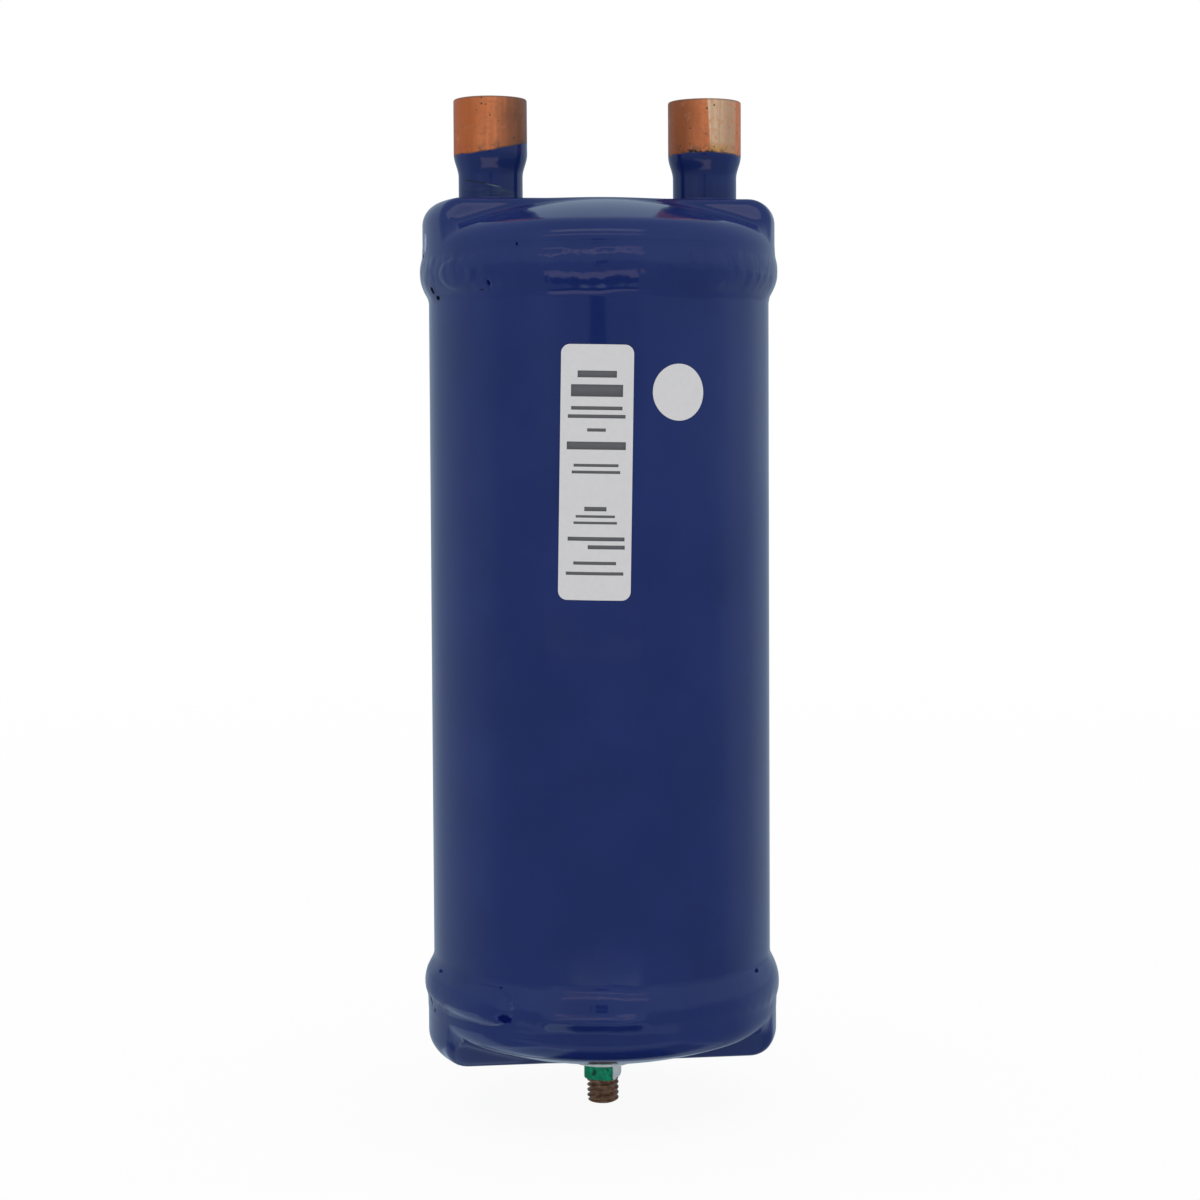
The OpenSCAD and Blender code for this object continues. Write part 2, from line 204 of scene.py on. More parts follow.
class Look(Nodes):
    """A procedural material on the part's own coordinates."""

    def __init__(self, name):
        self.mat = bpy.data.materials.new(name)
        self.mat.use_nodes = True
        super().__init__(self.mat.node_tree)
        self.shader = self.tree.nodes["Principled BSDF"]
        self.surface = self.tree.nodes["Material Output"].inputs["Surface"]
        self.place = self.add("ShaderNodeTexCoord").outputs["Object"]

    def set(self, **inputs):
        for k, v in inputs.items():
            self.put(self.shader.inputs[k.replace("_", " ")], v)

    def axes(self):
        return self.split(self.place)

    def stretch(self, x, y, z):
        node = self.add("ShaderNodeMapping")
        node.inputs["Scale"].default_value = (x, y, z)
        self.put(node.inputs["Vector"], self.place)
        return node.outputs["Vector"]

    def noise(self, scale, detail=2.0, rough=0.5, place=None):
        node = self.add("ShaderNodeTexNoise")
        self.put(node.inputs["Vector"], place or self.place)
        node.inputs["Scale"].default_value = scale
        node.inputs["Detail"].default_value = detail
        node.inputs["Roughness"].default_value = rough
        return node.outputs["Fac"]

    def specks(self, scale, size, share):
        """Small round dots in some of the cells of a grid of scale cells a metre."""
        node = self.add("ShaderNodeTexVoronoi")
        self.put(node.inputs["Vector"], self.place)
        node.inputs["Scale"].default_value = scale
        pick = self.add("ShaderNodeSeparateColor")
        self.put(pick.inputs[0], node.outputs["Color"])
        chosen = self.math("LESS_THAN", pick.outputs[0], share)
        return self.times(chosen, self.ramp(node.outputs["Distance"], size, size * 0.5))

    def length(self, vector):
        node = self.add("ShaderNodeVectorMath", operation="LENGTH")
        self.put(node.inputs[0], vector)
        return node.outputs["Value"]

    def mark(self, centre, size, edge):
        """1 inside an uneven ellipsoid about a point of the part, both in millimetres."""
        off = self.add("ShaderNodeVectorMath", operation="SUBTRACT")
        self.put(off.inputs[0], self.place)
        off.inputs[1].default_value = tuple(c * MM for c in centre)
        scaled = self.add("ShaderNodeVectorMath", operation="MULTIPLY")
        self.put(scaled.inputs[0], off.outputs[0])
        scaled.inputs[1].default_value = tuple(1 / (c * MM) for c in size)
        return self.ramp(self.plus(self.length(scaled.outputs[0]), edge), 1.0, 0.75)

    def bump(self, height, strength, distance, after=None):
        node = self.add("ShaderNodeBump")
        node.inputs["Strength"].default_value = strength
        node.inputs["Distance"].default_value = distance
        self.put(node.inputs["Height"], height)
        if after is not None:
            self.put(node.inputs["Normal"], after)
        return node.outputs["Normal"]


PAINT_DEEP, PAINT_PALE = (0.0060, 0.0163, 0.103), (0.0080, 0.0200, 0.119)

# Knocks in the coat, and a painted highlight on the left edge of the top cap: place and half sizes
# in millimetres, and colour.
DARK, PALE_CHIP_AND_GLINT, DEEP = (0.005, 0.009, 0.026), (0.90, 0.92, 1.00), (0.012, 0.028, 0.200)
MARKS = [
    ((-36.1, -37.9, 238.3), (0.6, 0.6, 1.5), DEEP),
    ((-37.8, -35.2, 236.6), (1.0, 1.0, 0.3), (0.08, 0.09, 0.22)),
    ((-50.2, -13.0, 237.6), (3.0, 1.0, 1.2), DARK),
    ((-49.4, -14.4, 235.3), (3.0, 1.5, 0.7), DARK),
    ((-28.6, -44.3, 248.8), (0.4, 0.6, 0.6), DEEP),
    # A painted highlight on the left edge of the top cap, made as a pale knock.
    ((-52.3, -6.7, 251.8), (1.2, 1.7, 3.0), PALE_CHIP_AND_GLINT),
    ((-52.7, -3.9, 248.2), (0.8, 0.9, 0.7), DARK),
    ((-53.2, -8.6, 27.6), (2.4, 1.2, 2.0), DARK),
    ((-51.7, -11.4, 25.1), (1.8, 0.7, 0.7), DARK),
    ((-49.7, -13.8, 37.3), (2.4, 1.6, 0.5), (0.03, 0.06, 0.26)),
    ((-33.3, -42.0, 29.4), (2.6, 2.6, 1.5), (0.016, 0.030, 0.240)),
    ((-34.2, -38.6, 37.7), (0.6, 0.6, 0.4), DEEP),
    ((30.7, -40.1, 256.2), (1.0, 1.0, 0.35), PALE_CHIP_AND_GLINT),
    ((42.7, -30.0, 38.0), (1.9, 1.7, 0.8), DEEP),
    ((41.5, 30.4, 233.8), (1.0, 1.0, 0.5), DARK),
    ((-20.4, 49.3, 38.2), (1.3, 1.0, 0.5), DEEP),
    ((12.6, 51.6, 251.0), (0.5, 0.7, 0.8), DARK),
]


def paint_nodes(look):
    """Colour, roughness and normal of the glossy blue coat, for use alone or over metal."""
    tone = look.ramp(look.noise(38, 3), 0.3, 0.7)
    colour = look.mix(tone, PAINT_DEEP, PAINT_PALE)
    colour = look.mix(look.specks(110, 0.035, 0.05), colour, (0.16, 0.18, 0.24))
    colour = look.mix(look.specks(150, 0.05, 0.03), colour, (0.003, 0.006, 0.02))
    rough = look.ramp(look.noise(90, 3), 0.25, 0.75, 0.09, 0.15)
    drawn = look.noise(1.0, 2, 0.5, look.stretch(70, 70, 2.5))
    normal = look.bump(drawn, 0.10, 0.0004)
    normal = look.bump(look.noise(420, 2), 0.035, 0.0004, normal)
    return colour, rough, normal


def paint_look():
    look = Look("vessel_paint")
    colour, rough, normal = paint_nodes(look)
    edge = look.times(look.minus(look.noise(1300, 2), 0.5), 0.9)
    bare = 0.0
    for centre, size, tint in MARKS:
        spot = look.mark(centre, size, edge)
        colour = look.mix(spot, colour, tint)
        bare = look.math("MAXIMUM", spot, bare)
    # A knock goes through to dull, stained metal; the painted highlight is made the same way.
    rough = look.math("MAXIMUM", rough, look.times(bare, 0.9))
    look.set(Base_Color=colour, Metallic=bare, Roughness=rough, Normal=normal, IOR=1.5)
    return look.mat


def tan_patch(look, metal, across, z, front, cloud):
    """The metal with a scraped side: pale streaks along the tube, yellow at their foot, and painted
    shade toward the right.
    """
    leaning = look.plus(across, look.times(look.minus(z, 0.2945), 0.06))
    flank = look.ramp(across, 0.0092, 0.0086)
    inside = look.times(look.ramp(leaning, 0.0003, 0.0006), flank, front)
    grain = look.noise(1.0, 3, 0.6, look.stretch(900, 900, 60))
    pale = look.mix(look.ramp(grain, 0.3, 0.7), (0.68, 0.44, 0.25), (0.90, 0.62, 0.40))
    low = look.ramp(look.plus(z, look.times(cloud, 0.004)), 0.2845, 0.2815)
    pale = look.mix(low, pale, (0.66, 0.36, 0.09))
    # Painted shade darkens the patch toward its right.
    pale = look.mix(look.ramp(across, 0.001, 0.0085, 0.0, 0.8), pale, (0.46, 0.28, 0.17))
    worn = look.ramp(look.noise(620, 4, 0.75), 0.48, 0.70, 0.95, 0.35)
    return look.mix(look.times(inside, worn), metal, pale)


def neck_scratch(look, coat, across, z, front):
    """The coat with a torn line across the front of the neck and fine scratches under it."""
    slip = look.minus(look.plus(z, look.times(across, 0.22)), 0.26885)
    span = look.between(across, (-0.0080, -0.0064), (0.0042, 0.0016))
    line = look.times(look.ramp(look.math("ABSOLUTE", slip), 0.00026, 0.00008), span)
    threads = look.noise(1.0, 3, 0.6, look.stretch(160, 160, 1100))
    haze = look.between(slip, (-0.0062, -0.0015), (0.0, -0.0004))
    stronger = look.ramp(across, -0.009, 0.004, 0.15, 0.5)
    haze = look.times(haze, look.ramp(threads, 0.42, 0.7), stronger)
    coat = look.mix(look.times(haze, front), coat, (0.040, 0.070, 0.085))
    torn = look.mix(look.ramp(across, -0.002, 0.0015), (0.003, 0.006, 0.008), (0.085, 0.15, 0.16))
    return look.mix(look.times(line, front), coat, torn)


def stub_look(name, side, line, slant, bow, red, right_shade, patch=False, scratch=False):
    """Dull copper with the blue coat over its foot, up to a line that slants and bows.

    Red is the left flank's painted shade; right shade gives the right flank's painted shade: start,
    full point and share.
    """
    look = Look(name)
    x, y, z = look.axes()
    front = look.math("LESS_THAN", y, 0.0)
    # Across the stub as it stands toward the label side.
    across = look.plus(look.times(look.minus(x, side * STUB_X * MM), math.cos(SIDE_AZ)),
                       look.times(y, math.sin(SIDE_AZ)))
    coat, coat_rough, coat_normal = paint_nodes(look)
    # The copper: warm streaks along the tube, brownish clouds, painted shade on both flanks and a
    # few dark pits.
    streak = look.noise(1.0, 3, 0.6, look.stretch(420, 420, 40))
    metal = look.mix(look.ramp(streak, 0.3, 0.75), (0.66, 0.188, 0.060), (0.88, 0.290, 0.106))
    cloud = look.noise(110, 4, 0.6)
    metal = look.mix(look.ramp(cloud, 0.50, 0.76, 0.0, 0.5), metal, (0.40, 0.165, 0.075))
    drift = look.plus(across, look.times(look.minus(cloud, 0.5), 0.004))
    # Painted shade darkens both flanks, dark on the right and a deep red on the left, leaving the
    # middle lit.
    right_flank_shade = look.ramp(drift, right_shade[0], right_shade[1], 0.0, right_shade[2])
    metal = look.mix(right_flank_shade, metal, (0.17, 0.068, 0.032))
    metal = look.mix(look.ramp(drift, -0.0005, -0.0065, 0.0, 0.9), metal, red)
    fine, spots = look.noise(900, 4, 0.65), look.noise(330, 3, 0.6)
    metal = look.mix(look.ramp(fine, 0.44, 0.70, 0.0, 0.4), metal, (0.36, 0.135, 0.065))
    metal = look.mix(look.ramp(spots, 0.60, 0.74, 0.0, 0.25), metal, (0.66, 0.30, 0.17))
    if patch:
        metal = tan_patch(look, metal, across, z, front, cloud)
    metal = look.mix(look.specks(420, 0.17, 0.14), metal, (0.13, 0.06, 0.03))
    metal = look.mix(look.specks(780, 0.24, 0.16), metal, (0.18, 0.09, 0.05))
    lip = look.ramp(z, (LIP - 0.8) * MM, (LIP - 0.15) * MM, 0.0, 0.65)
    metal = look.mix(lip, metal, (0.20, 0.11, 0.085))
    # The coat's upper edge, with smudges above it and soot on the patched stub.
    waver = look.times(look.minus(look.noise(260, 2), 0.5), 0.0009)
    edge = look.plus(look.times(across, slant), look.times(across, across, bow), waver)
    above = look.minus(look.minus(z, edge), line * MM)
    coated = look.ramp(above, 0.00006, -0.00006)
    blots = look.ramp(look.noise(420, 3, 0.6), 0.5, 0.62)
    smudge = look.times(look.ramp(above, 0.0035, 0.0), blots, 0.65)
    metal = look.mix(smudge, metal, (0.15, 0.075, 0.045))
    metal = look.mix(look.ramp(above, 0.0005, 0.0001, 0.0, 0.75), metal, (0.10, 0.04, 0.035))
    if patch:
        flakes = look.ramp(look.noise(380, 3, 0.6), 0.40, 0.52)
        middle = look.between(across, (-0.0075, -0.0050), (0.0040, 0.0015))
        soot = look.times(look.ramp(above, 0.0011, 0.0004), flakes, middle)
        metal = look.mix(soot, metal, (0.022, 0.018, 0.016))
    if scratch:
        coat = neck_scratch(look, coat, across, z, front)
    bare = look.minus(1.0, coated)
    metal_rough = look.ramp(cloud, 0.3, 0.7, 0.34, 0.5)
    look.set(
        Base_Color=look.mix(coated, metal, coat),
        Metallic=look.times(bare, 0.4),
        Roughness=look.plus(look.times(coated, coat_rough), look.times(bare, metal_rough)),
        Normal=look.bump(coated, 0.5, 0.00008, look.bump(streak, 0.06, 0.0003, coat_normal)),
    )
    return look.mat


def metal_look(name, low, high, rough, grain=(300, 300, 300)):
    """A plain metal with grain, stains and uneven gloss."""
    look = Look(name)
    g = look.noise(1.0, 4, 0.6, look.stretch(*grain))
    stain = look.ramp(look.noise(60, 3), 0.5, 0.75)
    colour = look.mix(look.ramp(g, 0.3, 0.7), low, high)
    colour = look.mix(look.times(stain, 0.4), colour, tuple(c * 0.5 for c in low))
    look.set(Base_Color=colour, Metallic=0.8, Roughness=look.ramp(g, 0.3, 0.7, rough, rough + 0.15),
             Normal=look.bump(g, 0.15, 0.0003))
    return look.mat


def stud_look():
    """Browned thread, a neck dyed green on two faces and bright on two, and a bright head."""
    look = Look("stud_steel")
    x, y, z = look.axes()
    wear = look.noise(520, 4, 0.65)
    rust = look.mix(look.ramp(wear, 0.35, 0.65), (0.16, 0.088, 0.052), (0.40, 0.25, 0.16))
    red = look.ramp(look.noise(330, 3), 0.52, 0.66)
    rust = look.mix(look.times(red, 0.7), rust, (0.26, 0.085, 0.055))
    # The way out from the neck's middle plane tells the bright pair of faces from the dyed pair.
    out = look.plus(look.times(x, math.cos(NECK_TURN)), look.times(y, math.sin(NECK_TURN)))
    out = look.plus(look.math("ABSOLUTE", out), look.times(wear, 0.0003))
    dyed = look.ramp(out, 0.00472, 0.00455)
    green = look.mix(look.ramp(wear, 0.35, 0.65), (0.001, 0.26, 0.13), (0.002, 0.46, 0.23))
    pits = look.ramp(look.noise(430, 2), 0.60, 0.70)
    green = look.mix(look.times(pits, 0.85), green, (0.008, 0.03, 0.035))
    bright = look.mix(look.ramp(wear, 0.3, 0.7), (0.80, 0.87, 0.88), (0.93, 0.96, 0.97))
    on_neck = look.ramp(z, 0.00005, 0.00025)
    on_head = look.ramp(z, 0.00545, 0.00552)
    colour = look.mix(on_neck, rust, look.mix(dyed, bright, green))
    look.set(
        Base_Color=look.mix(on_head, colour, bright),
        Metallic=look.times(look.minus(1.0, look.times(dyed, on_neck)), 0.15),
        Roughness=look.ramp(wear, 0.3, 0.7, 0.3, 0.5),
        Normal=look.bump(wear, 0.25, 0.0002),
        Specular_IOR_Level=0.25,
    )
    return look.mat


def paper_look(name, tint, rough):
    """Coated label stock with a faint mottle and handling marks."""
    look = Look(name)
    mottle = look.noise(700, 3)
    smear = look.ramp(look.noise(45, 3), 0.55, 0.8)
    colour = look.mix(look.ramp(mottle, 0.3, 0.7), tint, tuple(min(1, c * 1.03) for c in tint))
    colour = look.mix(look.times(smear, 0.10), colour, tuple(c * 0.8 for c in tint))
    look.set(Base_Color=colour, Roughness=look.ramp(mottle, 0.3, 0.7, rough, rough + 0.1),
             Normal=look.bump(mottle, 0.05, 0.0002))
    return look.mat


PAINT = paint_look()
LEFT_STUB = stub_look("inlet_copper", -1, line=278.7, slant=0.167, bow=9.5,
                      red=(0.50, 0.115, 0.020), right_shade=(0.0005, 0.0085, 0.9), scratch=True)
RIGHT_STUB = stub_look("outlet_copper", 1, line=278.75, slant=-0.014, bow=-4.5,
                       red=(0.33, 0.085, 0.020), right_shade=(0.009, 0.011, 0.3), patch=True)
STUD = stud_look()
BARE = metal_look("bare_steel", (0.42, 0.43, 0.46), (0.62, 0.63, 0.66), 0.3)
INNER_STEEL = metal_look("inner_steel", (0.38, 0.38, 0.40), (0.55, 0.55, 0.57), 0.35,
                         grain=(500, 500, 30))
INNER_BRASS = metal_look("inner_brass", (0.52, 0.40, 0.16), (0.70, 0.56, 0.26), 0.3)
PAPER = paper_look("label_paper", (0.62, 0.62, 0.63), 0.4)
INK = paper_look("label_ink", (0.10, 0.10, 0.11), 0.5)


# The stamped caps, in their own frame: pads at height 0 and the skirt below.
def common(a, b, radius):
    """Distance to what two forms share, with its edge rounded."""
    corner = np.hypot(np.maximum(radius + a, 0), np.maximum(radius + b, 0))
    return np.minimum(-radius, np.maximum(a, b)) + corner


def joined(a, b, radius):
    """Distance to two forms as one, with a fillet where they meet."""
    corner = np.hypot(np.maximum(radius - a, 0), np.maximum(radius - b, 0))
    return np.maximum(radius, np.minimum(a, b)) - corner


def cap_gap(p):
    """Distance from points to the outside of a cap: a dome, and a bar with flat pads across it."""
    x, y, z = p[..., 0], np.abs(p[..., 1]), p[..., 2]
    r = np.hypot(x, y)
    tilt = np.arctan2(r - KNUCKLE_X, z - KNUCKLE_Z)
    dome = np.where(tilt < DOME_EDGE, np.hypot(r, z - DOME_Z) - DOME_R,
                    np.hypot(r - KNUCKLE_X, z - KNUCKLE_Z) - KNUCKLE_R)
    dome = np.where(z < KNUCKLE_Z, r - CAP_R, dome)
    cup = np.where(r < SHOULDER_X, z, np.hypot(r - SHOULDER_X, z + SHOULDER_R) - SHOULDER_R)
    cup = np.where(z < -SHOULDER_R, r - SHOULDER_X - SHOULDER_R, cup)
    side = (y - BAR_Y) * math.cos(BAR_DRAFT) + z * math.sin(BAR_DRAFT)
    # The bar's edges ease toward the skirt. Its fillet is small on top and ends before the skirt.
    edge = 1.8 + 0.8 * smooth(-z, 5.0, 9.0)
    fillet = 0.4 + 1.1 * smooth(y, 15, 19) + 1.8 * smooth(r, 48.5, 50.5)
    fillet = fillet * (1 - smooth(r, 51.0, 52.6)) + 0.02
    return joined(dome, common(side, cup, edge), fillet)


def march(start, direction, reach, depth):
    """Where rays that come back from a reach meet the cap, at a depth under its outside."""
    steps, share = 110, 0.75
    t = np.full(direction.shape[:-1], reach)
    for _ in range(steps):
        t = t - share * (cap_gap(start + t[..., None] * direction) + depth)
    return start + t[..., None] * direction


def cap_mesh(holes):
    """A cap of even wall, with round holes at these places along X."""
    cols = 448
    polar = np.concatenate([np.linspace(1.5, 38, 18), np.linspace(38.6, 90, 84)])
    polar = np.radians(polar)[:, None]
    angle = turn_angles(cols)[None, :]
    direction = np.stack([np.sin(polar) * np.cos(angle), np.sin(polar) * np.sin(angle),
                          np.cos(polar) + 0 * angle], -1)
    base, rows = np.array([0.0, 0.0, -CAP_H]), len(polar)
    skins = []
    for depth in (0.0, CAP_WALL):
        skin = march(base, direction, 75.0, depth).reshape(-1, 3)
        apex = np.array([[0.0, 0.0, DOME_R + DOME_Z - depth]])
        skins.append(np.concatenate([skin, apex]))
    count = rows * cols + 1
    outer = np.array(grid_quads(rows, cols))
    keep = np.ones(len(outer), bool)
    for x in holes:
        middle = skins[0][outer].mean(1)
        gone = np.hypot(middle[:, 0] - x, middle[:, 1]) < HOLE_R
        rim = np.intersect1d(outer[gone], outer[keep & ~gone])
        for depth, skin in zip((0.0, CAP_WALL), skins):
            d = skin[rim, :2] - [x, 0]
            flat = [x, 0] + d / np.linalg.norm(d, axis=1)[:, None] * HOLE_R
            above = np.column_stack([flat, np.zeros(len(rim))])
            skin[rim] = march(above, np.tile([0.0, 0.0, 1.0], (len(rim), 1)), 4.0, depth)
        keep &= ~gone
    faces = outer[keep].tolist() + (outer[keep][:, ::-1] + count).tolist()
    # The two apexes, and the skirt's lower rim.
    top, last = count - 1, (rows - 1) * cols
    faces += fan(top, 0, cols) + fan(top + count, count, cols)
    faces += ring_quads(last, last + count, cols)
    # Walls of the holes, where an edge of the outside has lost one of its faces.
    edges = np.concatenate([outer[keep][:, pair] for pair in ([0, 1], [1, 2], [2, 3], [3, 0])])
    _, back, times = np.unique(np.sort(edges, 1), axis=0, return_inverse=True, return_counts=True)
    lone = edges[times[back.ravel()] == 1]
    lone = lone[(lone.min(1) >= cols) & (lone.max(1) < last)]
    faces += [[b, a, a + count, b + count] for a, b in lone.tolist()]
    return np.concatenate(skins), faces


verts, faces = cap_mesh((-STUB_X, STUB_X))
build("top_cap_form", verts + [0, 0, TOP_PADS], faces, "top_cap", PAINT, sharp=50)
verts, faces = cap_mesh(())
verts = verts * [1, 1, -1] + [0, 0, BOTTOM_PADS]
build("bottom_cap_form", verts, faces, "bottom_cap", PAINT, sharp=50)


# The shell, with the faint flats of a drawn tube.
def shell_wobble(angle, z):
    flats = (0.018 * ring_noise(angle, 4, 26, 3))[None, :]
    return flats + 0.006 * np.cos(z / 31 + 3 * angle[None, :])


levels = np.linspace(SHELL_LOW, SHELL_HIGH, 40)
profile = [(SHELL_R, z) for z in levels] + [(SHELL_R - SHELL_WALL, z) for z in levels[::-1]]
verts, faces = lathe(profile, 384, shell_wobble)
build("shell_tube", verts, faces, "shell", PAINT, sharp=50)


# The lap welds: u runs from the skirt's edge toward the shell, and azimuth from -Y toward +X.
def skirt_radius(u):
    past = np.clip(-u - (CAP_H + KNUCKLE_Z), 0, 6.5)
    return KNUCKLE_X + np.sqrt(KNUCKLE_R ** 2 - past ** 2)


def weld_mesh(edge, up, seed, rough, grain, run_end):
    """A wide bead melted into the skirt and the shell, with the shape of its run's end.

    Rough gives the swell of five bands from the skirt to the shell, and grain a finer one.
    """
    cols, rows, reach, first_band = 1200, 76, 8.6, 5.2
    angle = turn_angles(cols)
    azimuth = (np.degrees(angle) + 90 + 180) % 360 - 180
    u = np.linspace(-reach, reach, rows)[:, None] + 0 * angle
    base = np.where(u < 0, skirt_radius(u), SHELL_R)
    # A shallow arc, whose crest and radius wander a little round the vessel.
    crest = -1.2 + 0.22 * ring_noise(angle, 3, 26, seed)
    half = 12 + 0.25 * ring_noise(angle, 3, 20, seed + 1)
    bead = WELD_R - half + np.sqrt(half ** 2 - (u - crest) ** 2)
    bead = bead + 0.03 * ring_noise(angle, 3, 30, seed + 2)
    for k, swell in enumerate(rough):
        part = np.exp(-((u - crest + first_band - 2.6 * k) / 1.7) ** 2)
        bead = bead + swell * part * ring_noise(angle, 12, 80, seed + 3 + k)
    for k in range(9):
        part = np.exp(-((u - crest + first_band - 1.3 * k) / 0.8) ** 2)
        bead = bead + grain * part * ring_noise(angle, 30, 170, seed + 20 + k)
    ripple = 185 * angle + 2.5 * ring_noise(angle, 3, 20, seed + 9) - 0.05 * (u - crest) ** 2
    bead = bead + 0.006 * np.cos(ripple)
    bead = bead + run_end(azimuth, u)
    # It melts into what it lies on, and its borders dip just under that.
    soft = np.where(u < 0, 0.30, 0.75)
    r = (bead + base + np.sqrt((bead - base) ** 2 + soft ** 2)) / 2
    r = r - 0.10 * smooth(np.abs(u), 6.8, 8.4)
    hidden_u = np.array([[8.2], [0.1], [-8.2]]) + 0 * angle
    hidden_r = np.array([[SHELL_R - 0.4], [SHELL_R - 0.4], [CAP_R - 0.8]]) + 0 * angle
    u, r = np.concatenate([u, hidden_u]), np.concatenate([r, hidden_r])
    verts = np.stack([r * np.cos(angle), r * np.sin(angle), edge - u * up], -1).reshape(-1, 3)
    total = len(u)
    return verts, grid_quads(total, cols) + ring_quads((total - 1) * cols, 0, cols)


def lump(azimuth, u, at, across, wide, high):
    """A soft round rise of 1, its half widths in degrees and millimetres."""
    return np.exp(-((azimuth - at) / wide) ** 2 - ((u - across) / high) ** 2)


def top_end(azimuth, u):
    """A flat round pool with a swirl in it, and a nick beside it."""
    d = np.hypot((azimuth + 57.5) / 9.8, (u - 0.7) / 4.9)
    pool = 0.32 * (1 - smooth(d, 0.74, 1.02))
    swirl = 0.09 * np.exp(-((d - 0.52) / 0.13) ** 2) * smooth(azimuth, -60, -53)
    return pool - swirl - 0.35 * lump(azimuth, u, -43.5, 4.0, 0.8, 1.3)


def bottom_end(azimuth, u):
    """A tongue over the run's start, a crater and two drops at its end, and a ridge in front."""
    high = 5.35
    low = -5.25 + 0.075 * np.clip(-48 - azimuth, 0, 50)
    middle, width = (high + low) / 2, (high - low) / 2
    d = np.hypot(np.clip((azimuth + 46) / 10.5, 0, None), (u - middle) / width)
    steep, soft = np.sqrt(np.clip(1 - d ** 3, 0, 1)), 1 - smooth(d, 0.35, 1.0)
    over = smooth(u, -1, 2)
    tongue = 1.15 * ((1 - over) * steep + over * soft) * smooth(azimuth, -100, -72)
    groove = 0.5 * np.exp(-((d - 1.02) / 0.06) ** 2) * smooth(u, 0, 4) * smooth(azimuth, -56, -47)
    crater = 0.7 * lump(azimuth, u, -38.6, -2.4, 2.2, 1.4)
    drops = 0.35 * lump(azimuth, u, -36.4, 0.2, 0.9, 0.7)
    drops = drops + 0.3 * lump(azimuth, u, -37, 1.9, 0.9, 0.7)
    ridge = 1.15 * smooth(azimuth, -28, -21) * (1 - smooth(azimuth, 2, 8))
    ridge = ridge * np.exp(-((u + 1.8) / 1.9) ** 2)
    return tongue - groove - crater + drops + ridge


verts, faces = weld_mesh(TOP_EDGE, up=1, seed=21, rough=(0.020, 0.034, 0.024, 0.034, 0.026),
                         grain=0.009, run_end=top_end)
build("top_weld_bead", verts, faces, "top_weld", PAINT, sharp=60)
verts, faces = weld_mesh(BOTTOM_EDGE, up=-1, seed=61, rough=(0.022, 0.022, 0.006, 0.006, 0.010),
                         grain=0.001, run_end=bottom_end)
build("bottom_weld_bead", verts, faces, "bottom_weld", PAINT, sharp=60)


# The belled stubs.
def stub_mesh(seed):
    outer_round, inner_round = 0.45, 0.2

    def taper(low, high, steps):
        share = np.linspace(0, 1, steps)
        return low + (high - low) * (1 - np.cos(math.pi * share)) / 2
    rise = np.linspace(NECK_TOP, SOCKET_FLOOR, 22)
    profile = [(TUBE_R, z) for z in np.linspace(STUB_END, NECK_TOP, 18)[:-1]]
    profile += list(zip(taper(TUBE_R, BELL_R, 22), rise))
    profile += [(BELL_R, z) for z in np.linspace(SOCKET_FLOOR, LIP - outer_round, 14)[1:]]
    turn = np.linspace(0, math.pi / 2, 6)[1:]
    profile += [(BELL_R - outer_round + outer_round * math.cos(t),
                 LIP - outer_round + outer_round * math.sin(t)) for t in turn]
    profile += [(SOCKET_R + inner_round - inner_round * math.sin(t),
                 LIP - inner_round + inner_round * math.cos(t)) for t in turn]
    profile += [(SOCKET_R, z) for z in np.linspace(LIP - 0.3, SOCKET_FLOOR, 10)[1:]]
    profile += list(zip(taper(SOCKET_R, BORE_R, 22), rise[::-1]))[1:]
    profile += [(BORE_R, z) for z in np.linspace(NECK_TOP, STUB_END, 10)[1:]]

    def wobble(angle, z):
        up = smooth(z, NECK_TOP, LIP)
        return 0.05 * up * ring_noise(angle, 2, 6, seed)[None, :]
    return lathe(profile, 144, wobble)


for name, side, seed, look in (("inlet", -1, 5, LEFT_STUB), ("outlet", 1, 9, RIGHT_STUB)):
    verts, faces = stub_mesh(seed)
    verts = verts + [side * STUB_X, 0, 0]
    build(name + "_stub_tube", verts, faces, name + "_stub", look, sharp=50)


